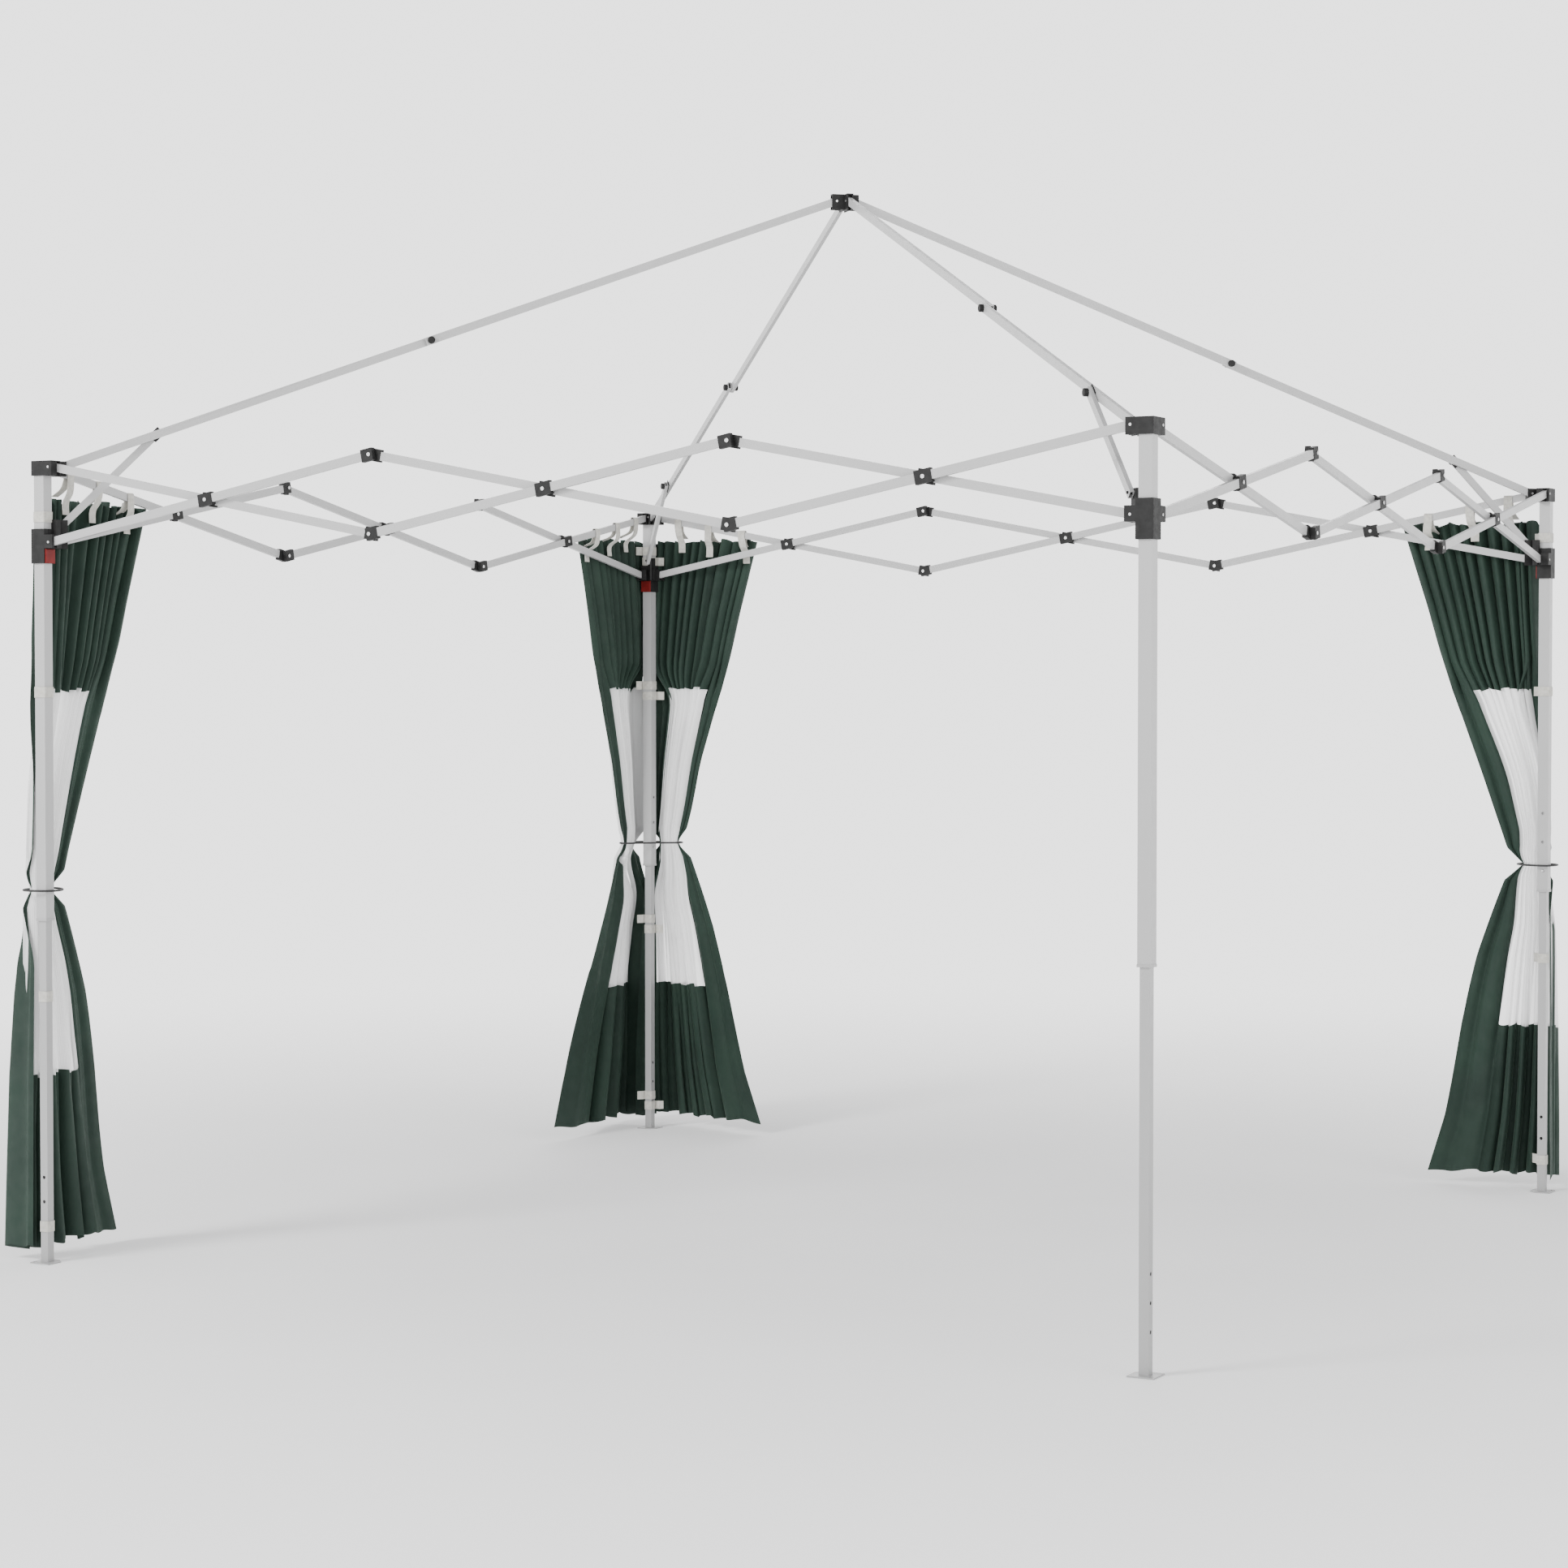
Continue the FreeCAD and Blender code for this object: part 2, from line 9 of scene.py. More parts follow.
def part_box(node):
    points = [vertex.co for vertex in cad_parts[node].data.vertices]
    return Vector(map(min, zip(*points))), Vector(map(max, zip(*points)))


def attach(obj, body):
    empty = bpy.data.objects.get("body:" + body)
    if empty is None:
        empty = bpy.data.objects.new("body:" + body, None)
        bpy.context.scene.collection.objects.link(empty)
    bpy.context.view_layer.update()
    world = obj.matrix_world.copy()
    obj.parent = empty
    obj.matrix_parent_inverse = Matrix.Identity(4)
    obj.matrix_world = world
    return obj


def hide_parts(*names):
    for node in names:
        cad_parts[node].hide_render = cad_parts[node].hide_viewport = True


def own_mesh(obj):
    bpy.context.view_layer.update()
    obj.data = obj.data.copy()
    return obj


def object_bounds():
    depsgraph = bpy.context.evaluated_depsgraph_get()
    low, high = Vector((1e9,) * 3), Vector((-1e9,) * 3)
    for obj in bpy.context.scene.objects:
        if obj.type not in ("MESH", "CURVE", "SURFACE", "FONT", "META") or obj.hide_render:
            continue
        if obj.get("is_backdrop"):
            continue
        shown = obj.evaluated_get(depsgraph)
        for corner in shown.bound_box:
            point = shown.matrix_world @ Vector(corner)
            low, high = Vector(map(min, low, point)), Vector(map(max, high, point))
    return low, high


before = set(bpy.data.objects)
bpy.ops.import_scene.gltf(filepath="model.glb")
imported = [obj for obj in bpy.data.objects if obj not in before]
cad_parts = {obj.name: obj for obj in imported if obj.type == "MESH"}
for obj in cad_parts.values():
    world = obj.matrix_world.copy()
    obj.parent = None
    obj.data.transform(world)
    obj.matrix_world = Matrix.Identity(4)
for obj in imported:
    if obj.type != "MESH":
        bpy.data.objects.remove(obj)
CAD_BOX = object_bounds()

CORNERS = ["front_left", "front_right", "rear_right", "rear_left"]
PANELS = [("front_left", 3), ("rear_left", 3), ("rear_left", 2), ("rear_right", 2)]
LEG_HALF = 0.015
INNER_HALF = 0.011


def leg_axis(corner):
    """The leg's axis on the floor: the middle of its square foot plate."""
    low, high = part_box("inner_leg_" + corner)
    return Vector(((low[0] + high[0]) / 2, (low[1] + high[1]) / 2, 0))


AXES = {corner: leg_axis(corner) for corner in CORNERS}
CENTRE = sum(AXES.values(), Vector()) / 4


# Camera


AZIMUTH, ELEVATION, DISTANCE = 0.4958, 0.02888, 8.9374
TARGET = CENTRE + Vector((-0.1378, -0.0738, 1.1586))
LENS, SENSOR_WIDTH, CLIP_END = 78.37, 36.0, 100.0


def add_camera():
    """A view from the front right, almost level, through a long lens."""
    back = Vector((
        math.sin(AZIMUTH) * math.cos(ELEVATION),
        -math.cos(AZIMUTH) * math.cos(ELEVATION),
        math.sin(ELEVATION),
    ))
    data = bpy.data.cameras.new("camera")
    data.lens = LENS
    data.sensor_width = SENSOR_WIDTH
    data.clip_end = CLIP_END
    camera = bpy.data.objects.new("camera", data)
    bpy.context.scene.collection.objects.link(camera)
    camera.location = TARGET + back * DISTANCE
    camera.rotation_euler = (-back).to_track_quat("-Z", "Y").to_euler()
    bpy.context.scene.camera = camera


# Material building


class Nodes:
    """A material's node tree with short helpers."""

    def __init__(self, name):
        self.material = bpy.data.materials.new(name)
        self.material.use_nodes = True
        self.tree = self.material.node_tree
        self.shader = self.tree.nodes["Principled BSDF"]
        self.place = self.add("ShaderNodeTexCoord").outputs["Object"]

    def add(self, kind, **settings):
        node = self.tree.nodes.new(kind)
        for key, value in settings.items():
            if hasattr(node, key):
                setattr(node, key, value)
            else:
                node.inputs[key].default_value = value
        return node

    def link(self, source, target):
        self.tree.links.new(source, target)

    def set(self, **values):
        for key, value in values.items():
            self.shader.inputs[key.replace("_", " ")].default_value = value

    def noise(self, scale, detail=2.0, stretch=(1, 1, 1)):
        mapping = self.add("ShaderNodeMapping")
        mapping.inputs["Scale"].default_value = stretch
        self.link(self.place, mapping.inputs["Vector"])
        node = self.add("ShaderNodeTexNoise", Scale=scale, Detail=detail)
        self.link(mapping.outputs["Vector"], node.inputs["Vector"])
        return node.outputs["Fac"]

    def ramp(self, factor, low, high, start=0.3, end=0.7):
        node = self.add("ShaderNodeValToRGB")
        node.color_ramp.elements[0].position = start
        node.color_ramp.elements[1].position = end
        node.color_ramp.elements[0].color = low
        node.color_ramp.elements[1].color = high
        self.link(factor, node.inputs["Fac"])
        return node.outputs["Color"]

    def spread(self, factor, low, high):
        node = self.add("ShaderNodeMapRange")
        node.inputs["From Min"].default_value = 0.3
        node.inputs["From Max"].default_value = 0.7
        node.inputs["To Min"].default_value = low
        node.inputs["To Max"].default_value = high
        self.link(factor, node.inputs["Value"])
        return node.outputs["Result"]

    def bump(self, height, strength, distance):
        node = self.add("ShaderNodeBump", Strength=strength, Distance=distance)
        self.link(height, node.inputs["Height"])
        self.link(node.outputs["Normal"], self.shader.inputs["Normal"])


def grey(value):
    return (value, value, value, 1)


def powder_coat(name, value):
    """Light grey powder coat: fine orange peel, slight mottling and satin gloss."""
    n = Nodes(name)
    n.set(Specular_IOR_Level=0.5, Coat_Weight=0.12, Coat_Roughness=0.3)
    tone = n.ramp(n.noise(3.0, 3.0), grey(value * 0.97), grey(value * 1.02))
    n.link(tone, n.shader.inputs["Base Color"])
    n.link(n.spread(n.noise(40.0, 3.0), 0.30, 0.42), n.shader.inputs["Roughness"])
    n.bump(n.noise(700.0, 2.0), 0.10, 0.0004)
    return n.material


def moulded(name, low, high, roughness):
    """Injection moulded plastic with a fine spark-eroded grain."""
    n = Nodes(name)
    n.set(Specular_IOR_Level=0.15)
    n.link(n.ramp(n.noise(60.0, 3.0), low, high), n.shader.inputs["Base Color"])
    n.link(n.spread(n.noise(90.0, 2.0), roughness - 0.06, roughness + 0.06), n.shader.inputs["Roughness"])
    n.bump(n.noise(1800.0, 2.0), 0.25, 0.0003)
    return n.material


def zinc(name):
    """Plated fasteners, a little uneven."""
    n = Nodes(name)
    n.set(Metallic=0.9)
    n.link(n.ramp(n.noise(300.0), grey(0.42), grey(0.62)), n.shader.inputs["Base Color"])
    n.link(n.spread(n.noise(500.0), 0.25, 0.45), n.shader.inputs["Roughness"])
    return n.material


def weave(n, across, along, pitch):
    """Height of a plain weave from two waves in the cloth's own UV directions."""
    waves = []
    for axis, count in (("X", across), ("Y", along)):
        wave = n.add("ShaderNodeTexWave", wave_type="BANDS", bands_direction=axis)
        wave.inputs["Scale"].default_value = count * math.pi / 10 / pitch
        wave.inputs["Distortion"].default_value = 0.4
        n.link(n.add("ShaderNodeTexCoord").outputs["UV"], wave.inputs["Vector"])
        waves.append(wave.outputs["Fac"])
    mix = n.add("ShaderNodeMath", operation="MULTIPLY")
    n.link(waves[0], mix.inputs[0])
    n.link(waves[1], mix.inputs[1])
    return mix.outputs["Value"]


def polyester(name):
    """Dark green coated polyester with a plain weave, soft sheen and faint creases."""
    n = Nodes(name)
    n.set(Sheen_Weight=0.12, Sheen_Roughness=0.4, Specular_IOR_Level=0.25)
    n.shader.inputs["Sheen Tint"].default_value = (0.55, 0.75, 0.62, 1)
    shade = n.ramp(n.noise(5.0, 4.0), (0.009, 0.021, 0.015, 1), (0.014, 0.032, 0.022, 1))
    n.link(shade, n.shader.inputs["Base Color"])
    n.link(n.spread(n.noise(25.0, 3.0), 0.55, 0.72), n.shader.inputs["Roughness"])
    cloth = weave(n, 1.0, 1.0, 0.0016)
    crease = n.add("ShaderNodeMath", operation="ADD")
    n.link(cloth, crease.inputs[0])
    n.link(n.noise(14.0, 3.0, (1, 1, 0.25)), crease.inputs[1])
    n.bump(crease.outputs["Value"], 0.35, 0.0016)
    return n.material


def netting(name):
    """White mosquito net: fine threads with see-through cells."""
    n = Nodes(name)
    n.set(Roughness=0.8, Sheen_Weight=0.2)
    n.link(n.ramp(n.noise(8.0), grey(0.90), grey(0.97)), n.shader.inputs["Base Color"])
    threads = n.spread(weave(n, 1.0, 1.0, 0.0022), 0.48, 0.70)
    n.link(threads, n.shader.inputs["Alpha"])
    return n.material


def webbing(name):
    """Beige woven tape with cross ribs."""
    n = Nodes(name)
    n.set(Roughness=0.85, Sheen_Weight=0.2)
    tone = n.ramp(n.noise(120.0, 3.0), (0.40, 0.39, 0.35, 1), (0.52, 0.51, 0.47, 1))
    n.link(tone, n.shader.inputs["Base Color"])
    n.bump(weave(n, 0.5, 1.0, 0.0012), 0.5, 0.0006)
    return n.material


def cord_black(name):
    n = Nodes(name)
    n.link(n.ramp(n.noise(400.0), grey(0.008), grey(0.02)), n.shader.inputs["Base Color"])
    n.set(Roughness=0.6)
    n.bump(n.noise(900.0, 2.0), 0.4, 0.0005)
    return n.material


MATERIALS = {
    "coat": powder_coat("powder_coat", 0.36),
    "inner": powder_coat("powder_coat_inner", 0.32),
    "black": moulded("black_moulding", grey(0.012), grey(0.019), 0.56),
    "red": moulded("red_moulding", (0.11, 0.008, 0.008, 1), (0.16, 0.012, 0.011, 1), 0.42),
    "zinc": zinc("zinc_plate"),
    "cloth": polyester("green_polyester"),
    "net": netting("white_netting"),
    "tape": webbing("beige_webbing"),
    "cord": cord_black("black_cord"),
}


# CAD nodes: each loose shell of a node gets the material of its own solid


def shells(mesh):
    """The label of the loose shell that each polygon belongs to, welding equal points."""
    points = np.array([v.co[:] for v in mesh.vertices])
    keys = np.unique(np.round(points, 6), axis=0, return_inverse=True)[1].reshape(-1)
    root = list(range(keys.max() + 1))

    def find(i):
        while root[i] != i:
            root[i] = root[root[i]]
            i = root[i]
        return i

    for polygon in mesh.polygons:
        first = find(keys[polygon.vertices[0]])
        for vertex in polygon.vertices[1:]:
            root[find(keys[vertex])] = first
    return points, [find(keys[p.vertices[0]]) for p in mesh.polygons]


def paint(node, choose):
    """Give each polygon of a CAD node a material: choose takes its shell's size and its middle."""
    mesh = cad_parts[node].data
    points, labels = shells(mesh)
    sizes = {}
    for label in set(labels):
        used = sorted({v for p, own in zip(mesh.polygons, labels) if own == label for v in p.vertices})
        sizes[label] = np.ptp(points[used], axis=0)
    names = []
    for polygon, label in zip(mesh.polygons, labels):
        names.append(choose(sizes[label], points[list(polygon.vertices)].mean(axis=0)))
    slots = sorted(set(names))
    mesh.materials.clear()
    for name in slots:
        mesh.materials.append(MATERIALS[name])
    for polygon, name in zip(mesh.polygons, names):
        polygon.material_index = slots.index(name)


def local_frame(corner):
    """A map from the row frame to leg axis coordinates, where the sides leave along +X and +Y."""
    turn = np.array(Matrix.Rotation(math.radians(-90 * CORNERS.index(corner)), 3, "Z"))
    origin = np.array(AXES[corner])
    return lambda point: turn @ (point - origin)


BAR_SLOPE = math.radians(10.94)
BAR_HALF_HEIGHT, BAR_HALF_THICKNESS, BAR_OVERHANG, LAYER_OFFSET = 0.010, 0.005, 0.008, 0.00725
PIN_RADIUS, SLIDER_DROP = 0.003, 0.1827
BUSH_TOP_Z, LEG_TOP_Z = 0.848, 1.9605
FASTENER_SIZE, HUB_PIN_SIZE, SHORTEST_POLE = 0.05, 0.03, 0.1
PIVOT_OFFSET, TOP_PIVOT_Z, MID_Z = 0.0323, 1.948, 1.85665
UNIT_WIDTH, BAR_LENGTH = 0.94513, 0.9626
SKIN = 0.0002


def bar_finish(node):
    """Steel where the surface lies on the tube, plastic where a moulded sleeve covers it."""
    side, kind, _, unit = node.split("_")
    place = local_frame(CORNERS[["front", "right", "rear", "left"].index(side)])
    slope = BAR_SLOPE if kind == "rising" else -BAR_SLOPE
    layer = -LAYER_OFFSET if kind == "rising" else LAYER_OFFSET
    middle = PIVOT_OFFSET + UNIT_WIDTH * (int(unit) - 0.5)

    def choose(size, point):
        if max(size) < FASTENER_SIZE:
            return "zinc"
        x, y, z = place(point)
        x, z = x - middle, z - MID_Z
        run = x * math.cos(slope) + z * math.sin(slope)
        rise = z * math.cos(slope) - x * math.sin(slope)
        beyond = abs(run) > BAR_LENGTH / 2 + BAR_OVERHANG + SKIN
        covered = abs(rise) > BAR_HALF_HEIGHT + SKIN or abs(y - layer) > BAR_HALF_THICKNESS + SKIN
        return "black" if beyond or covered else "coat"

    return choose


def near_pin(x, y, z, pin_z):
    """Whether a point lies on one of the two pivot pins of a corner bracket."""
    reach = min(math.hypot(x - PIVOT_OFFSET, z - pin_z), math.hypot(y - PIVOT_OFFSET, z - pin_z))
    return reach < PIN_RADIUS + SKIN


def leg_finish(node):
    """Coated tube, its lower bush in the inner leg's tone, black bracket and zinc fasteners."""
    place = local_frame(node.replace("outer_leg_", ""))

    def choose(size, point):
        x, y, z = place(point)
        if max(size) < FASTENER_SIZE or near_pin(x, y, z, TOP_PIVOT_Z):
            return "zinc"
        inside = max(abs(x), abs(y)) < LEG_HALF + SKIN
        if z < BUSH_TOP_Z:
            return "inner"
        return "coat" if inside and z < LEG_TOP_Z + SKIN else "black"

    return choose


def slider_finish(node):
    """A plastic slider with zinc pivot pins."""
    place = local_frame(node.replace("slider_", ""))
    return lambda size, point: "zinc" if near_pin(*place(point), TOP_PIVOT_Z - SLIDER_DROP) else "black"


def ridge_finish(size, point):
    return "coat" if max(size) > SHORTEST_POLE else "black"


def hub_finish(size, point):
    return "zinc" if max(size) < HUB_PIN_SIZE else "black"


def paint_frame():
    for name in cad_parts:
        if "_bar_" in name:
            paint(name, bar_finish(name))
        elif name.startswith("outer_leg"):
            paint(name, leg_finish(name))
        elif name.startswith("slider"):
            paint(name, slider_finish(name))
        elif name.startswith("inner_leg"):
            paint(name, lambda size, point: "inner")
        elif name.startswith("ridge"):
            paint(name, ridge_finish)
        elif name == "hub":
            paint(name, hub_finish)
        elif name.startswith("release"):
            paint(name, lambda size, point: "red")
        elif name.startswith("snap"):
            paint(name, lambda size, point: "zinc")


# Places along a side: s runs from the leg axis along the truss, w outward from it


class SideFrame:
    """Axes of one curtain side at a corner leg; side counts quarter turns from the front."""

    def __init__(self, corner, side):
        turn = Matrix.Rotation(math.radians(90 * side), 3, "Z")
        self.origin = AXES[corner]
        sign = 1 if CORNERS.index(corner) == side else -1
        self.along = turn @ Vector((sign, 0, 0))
        self.out = turn @ Vector((0, -1, 0))

    def at(self, s, w, z):
        return self.origin + self.along * s + self.out * w + Vector((0, 0, z))


def new_object(name, vertices, faces, materials, uvs=None, smooth=True):
    mesh = bpy.data.meshes.new(name)
    mesh.from_pydata([tuple(v) for v in vertices], [], faces)
    for key in materials:
        mesh.materials.append(MATERIALS[key])
    if uvs is not None:
        layer = mesh.uv_layers.new(name="UVMap")
        for loop in mesh.loops:
            layer.data[loop.index].uv = uvs[loop.vertex_index]
    for polygon in mesh.polygons:
        polygon.use_smooth = smooth
    mesh.update()
    obj = bpy.data.objects.new(name, mesh)
    bpy.context.scene.collection.objects.link(obj)
    return obj


# Curtains

FLAT_WIDTH, FLAT_LENGTH = 1.15, 1.85
TOP_Z, HEM_Z, NECK_Z = 1.872, 0.035, 0.915
NET_TOP, NET_BOTTOM = 1.405, 0.457
STRIP = 0.13
STRIP_PLAN_FREE = 0.25
FOLD_BACK_END = 0.25
LEG_GAP = 0.0228
CLEAR_FROM_Z, CLEAR_OUT = 0.84, 0.0215
STRIPS_FULL_Z, STRIPS_START_Z = 1.36, 1.50
NECK_HALF, NECK_FADE, NECK_SHARE, NECK_POWER = 0.004, 0.044, 0.16, 0.85
LEAN_BEHIND, LEAN_IN_FRONT = 0.012, 0.004
LIFT_TOP_Z, LIFT_HEM_Z = 1.35, 0.52
STRIP_COLUMNS = 22
PLEATS = 13
COLUMNS_PER_PLEAT = 14
# height: leg-side end, free end, distance outward, bulge outward, pleat depth
PROFILE = [
    (1.872, 0.030, 0.430, 0.044, 0.000, 0.0170),
    (1.640, 0.027, 0.352, 0.045, 0.002, 0.0200),
    (1.405, 0.020, 0.282, 0.047, 0.006, 0.0220),
    (1.150, 0.000, 0.186, 0.044, 0.018, 0.0230),
    (0.958, -0.008, 0.114, 0.042, 0.020, 0.0200),
    (0.915, 0.006, 0.081, 0.050, 0.004, 0.0120),
    (0.870, -0.010, 0.124, 0.050, 0.020, 0.0200),
    (0.650, -0.012, 0.212, 0.044, 0.068, 0.0240),
    (0.457, -0.014, 0.275, 0.042, 0.092, 0.0260),
    (0.200, -0.016, 0.350, 0.040, 0.108, 0.0260),
    (0.035, -0.018, 0.412, 0.040, 0.116, 0.0260),
]


def eased(value, low, high):
    """A smooth step from 0 at low to 1 at high."""
    share = min(max((value - low) / (high - low), 0.0), 1.0)
    return share * share * (3 - 2 * share)


def profile(z):
    """The gathered curtain's plan measures at a height, eased between the table's rows."""
    for upper, lower in zip(PROFILE, PROFILE[1:]):
        if z >= lower[0]:
            share = min(max((upper[0] - z) / (upper[0] - lower[0]), 0.0), 1.0)
            return [a + (b - a) * share for a, b in zip(upper[1:], lower[1:])]
    return list(PROFILE[-1][1:])


def pinch(z):
    """How far a strip keeps its width near the tie: 1 away from it, almost 0 at it."""
    share = min(max((abs(z - NECK_Z) - NECK_HALF) / NECK_FADE, 0.0), 1.0)
    return NECK_SHARE + (1 - NECK_SHARE) * share**NECK_POWER


def rows_of_heights():
    """Row heights from top to hem, with exact rows at the net's ends and close rows at the neck."""
    spans = [(TOP_Z, NET_TOP, 24), (NET_TOP, 0.98, 24), (0.98, 0.85, 26), (0.85, NET_BOTTOM, 22),
             (NET_BOTTOM, HEM_Z, 26)]
    heights = []
    for high, low, count in spans:
        heights += [high + (low - high) * i / count for i in range(count)]
    return heights + [HEM_Z]


def flare(z, style):
    """How far the strip by the leg stands out from it: fully below the tie, briefly above it."""
    above = style["puff"] * eased(z, 0.93, 1.02) * (1 - eased(z, 1.12, 1.40))
    return max(1 - eased(z, 0.72, 0.91), above)


def plan_share(u, z, style):
    """Where cloth share u lies across the gathered width.

    The plain edge strips gather less than the rest. Above the tie the net doubles back over the
    strip by the leg, or that strip is turned under the net; below it the strip stands out from the
    leg and takes little of the width.
    """
    strips = 1 - eased(z, STRIPS_FULL_Z, STRIPS_START_Z)
    squeeze = pinch(z)
    stand = flare(z, style)
    leg = STRIP + (style["leg_strip"] - STRIP) * strips
    leg += (0.05 - leg) * stand
    wide = STRIP_PLAN_FREE + (style["hem_strip"] - STRIP_PLAN_FREE) * stand
    free = 1 - STRIP - (wide - STRIP) * strips
    turned = style["turned"] * strips if z > NECK_Z else 0.0
    open_way = squeeze * (1 - 2 * turned)
    if u < STRIP:
        return leg * (0.5 + (u / STRIP - 0.5) * open_way)
    if u > 1 - STRIP:
        return (1 + free) / 2 + ((u - 1) / STRIP + 0.5) * (1 - free) * squeeze
    start, end = leg * (0.5 + 0.5 * open_way), (1 + free) / 2 - 0.5 * (1 - free) * squeeze
    back = style["double"] * strips * squeeze * (1 - stand)
    if u < FOLD_BACK_END:
        return start - back * eased(u, STRIP, FOLD_BACK_END)
    return start - back + (end - start + back) * (u - FOLD_BACK_END) / (1 - STRIP - FOLD_BACK_END)


def lean_out(u, z, stand):
    """The strip by the leg lies behind the net that doubles back over it."""
    strips = (1 - eased(z, STRIPS_FULL_Z, STRIPS_START_Z)) * (1 - stand)
    behind = 1 - eased(u, STRIP - 0.02, STRIP + 0.05)
    return strips * pinch(z) * (LEAN_BEHIND * behind - LEAN_IN_FRONT)


def bell(u, t, stand, tuck):
    """Share of the bulge: below the tie the leg's strip runs straight out, then the cloth rounds."""
    above = math.sin(math.pi * min(1.0, 0.12 + 0.93 * t))
    below = u / STRIP if u < STRIP else math.cos(math.pi / 2 * (u - STRIP) / (1 - STRIP)) ** 0.8
    below += 0.22 * math.sin(math.pi * u)
    below *= 1 - tuck * eased(u, STRIP, STRIP + 0.02)
    return above + (below - above) * stand


def curtain_point(u, z, style, place):
    """A point of the gathered cloth at share u of its width and height z."""
    seed = style["seed"]
    s0, s1, gap, bulge, depth = profile(z)
    s1 *= 1 - (1 - style["narrow"]) * eased(z, 0.92, 1.20)
    s1 *= 1 - (1 - style["hem"]) * (1 - eased(z, 0.15, 0.90))
    bulge *= 1 - (1 - style["swell"]) * (1 - eased(z, 0.70, 0.92))
    stand = flare(z, style)
    t = plan_share(u, z, style)
    low = 1 - eased(z, 0.15, 0.80)
    s0 -= style["reach"] * pinch(z) * (1 + style["spread"] * low) + style["wrap"] * eased(z, 1.34, 1.46)
    gap += style["tip"] * low * t * t
    if u < STRIP:
        gap -= (gap - LEG_GAP) * stand * (1 - u / STRIP)
    phase = 2 * math.pi * PLEATS * u + 1.1 * math.sin(2 * math.pi * (2.3 * u + seed))
    phase += 0.7 * math.sin(13 * u + 1.4 * z + seed) + 0.5 * low * math.sin(21 * u - 2.0 * z)
    size = depth * (0.84 + 0.26 * math.sin(17 * u + 0.9 * z + seed * 3) + 0.16 * math.sin(29 * u - 1.3 * z))
    edge = min(u, 1 - u) / STRIP
    if edge < 1:
        flat = 0.22 + 0.78 * eased(z, 1.36, 1.55)
        size *= flat + (1 - flat) * eased(edge, 0.7, 1.0)
    size *= 1 - stand * style["tuck"] * (1 - eased(abs(u - STRIP), 0.01, 0.07))
    wave = math.sin(phase) + 0.25 * math.sin(2 * phase + 1.1 + 3 * u)
    wave = wave * (1 - 0.55 * low) + 0.95 * low * math.sin(phase / 2 + 0.8 + seed)
    s = s0 + (s1 - s0) * t + 0.34 * size * math.cos(phase)
    w = gap + bulge * bell(u, t, stand, style["tuck"]) + size * wave + lean_out(u, z, stand)
    if z > CLEAR_FROM_Z:
        w = max(w, CLEAR_OUT)
    return place.at(s, w, 0)


# For each panel: how far its leg end reaches past the leg, how much more at the hem and in the top
# band, how far the strip by the leg puffs out above the tie, whether it is turned under the net,
# its share of the width, how far the net doubles back over it, how far the free tip of the hem
# stands out, the free strip's share of the hem, the relative widths of the top and hem, the
# relative size of the bell, and how far the net keeps inside the strip by the leg
STYLES = [
    {
        "reach": 0.0, "spread": 0.0, "wrap": 0.0, "puff": 0.8, "turned": 0, "leg_strip": 0.27,
        "double": 0.13, "tip": 0.02, "hem_strip": 0.27, "narrow": 1.0, "hem": 0.80, "swell": 0.76,
        "tuck": 0.85,
    },
    {
        "reach": 0.032, "spread": 1.0, "wrap": 0.050, "puff": 0.0, "turned": 1, "leg_strip": 0.50,
        "double": -0.44, "tip": 0.06, "hem_strip": 0.46, "narrow": 0.85, "hem": 1.0, "swell": 0.85,
        "tuck": 0.0,
    },
    {
        "reach": 0.024, "spread": 1.0, "wrap": 0.032, "puff": 0.0, "turned": 0, "leg_strip": 0.30,
        "double": 0.0, "tip": -0.02, "hem_strip": 0.38, "narrow": 0.84, "hem": 0.95, "swell": 0.85,
        "tuck": 0.0,
    },
    {
        "reach": 0.0, "spread": 0.0, "wrap": 0.0, "puff": 0.8, "turned": 0, "leg_strip": 0.27,
        "double": 0.13, "tip": 0.0, "hem_strip": 0.40, "narrow": 0.98, "hem": 0.83, "swell": 0.62,
        "tuck": 0.0,
    },
]


def edge_lift(u, style):
    """Uneven height of the hems where the gathers pull them."""
    return 0.004 * math.sin(31 * u + style["seed"]) + 0.003 * math.sin(67 * u + 2 * style["seed"])


